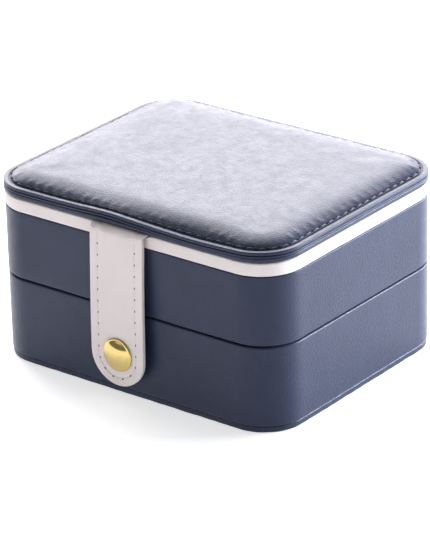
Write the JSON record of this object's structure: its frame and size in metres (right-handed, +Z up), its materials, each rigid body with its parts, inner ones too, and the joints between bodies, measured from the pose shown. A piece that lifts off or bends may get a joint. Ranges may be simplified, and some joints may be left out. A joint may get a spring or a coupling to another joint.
{
  "type": "leather jewellery case",
  "caption": "Two-layer leather jewellery case: padded hinged lid, hinged upper case with ring rolls, divided lower case, and a front strap with a snap.",
  "frame": {"origin": "middle of the case's outline, on the surface that the case stands on", "axes": "+X along the case's width, -Y towards the front with the strap, +Z up"},
  "size_m": [0.1528, 0.1331, 0.085],
  "materials": {
    "navy_leather": "satin",
    "cream_leather": "satin",
    "cream_velvet": "matte",
    "board": "matte",
    "foam": "matte",
    "gold_brass": "polished",
    "mirror_glass": "polished"
  },
  "bodies": {
    "lower_case": {"base_cover": "navy_leather", "base_board": "board", "lower_frame": "board", "lower_cover": "navy_leather", "lower_lining": "cream_velvet", "lower_floor_pad": "cream_velvet", "long_divider": "cream_velvet", "cross_divider_left": "cream_velvet", "cross_divider_right": "cream_velvet", "snap_stud": "gold_brass", "stud_rivet": "gold_brass", "lower_hinge": "navy_leather"},
    "upper_case": {"upper_frame": "board", "upper_cover": "navy_leather", "upper_underside": "cream_velvet", "upper_floor": "board", "upper_floor_pad": "cream_velvet", "upper_lining": "cream_velvet", "collar_board": "board", "collar_cover": "cream_leather", "bay_divider": "cream_velvet", "cross_divider_front": "cream_velvet", "cross_divider_back": "cream_velvet", "ring_roll_1": "cream_velvet", "ring_roll_2": "cream_velvet", "ring_roll_3": "cream_velvet", "ring_roll_4": "cream_velvet", "ring_roll_5": "cream_velvet", "ring_roll_6": "cream_velvet", "lid_hinge": "navy_leather"},
    "lid": {"lid_ply": "navy_leather", "lid_board": "board", "lid_pad": "foam", "lid_cover": "navy_leather", "lid_panel": "cream_velvet", "mirror": "mirror_glass", "mirror_frame": "cream_leather", "strap_root": "cream_leather", "strap_neck": "cream_leather"},
    "strap": {"strap_front": "cream_leather", "strap_back": "cream_leather", "snap_cap": "gold_brass", "snap_socket": "gold_brass"}
  },
  "joints": [
    {"name": "upper_case_fold", "type": "hinge", "parent": "lower_case", "child": "upper_case", "pos_m": [0, 0.06245, 0.0391], "axis": [-1, 0, 0], "range_deg": [0, 90], "deforming": ["lower_hinge"]},
    {"name": "lid_fold", "type": "hinge", "parent": "upper_case", "child": "lid", "pos_m": [0, 0.06245, 0.07655], "axis": [-1, 0, 0], "range_deg": [0, 100], "deforming": ["lid_hinge"]},
    {"name": "strap_fold", "type": "hinge", "parent": "lid", "child": "strap", "pos_m": [-0.002, -0.06634, 0.07584], "axis": [-1, 0, 0], "range_deg": [0, 90], "deforming": ["strap_neck"]}
  ]
}
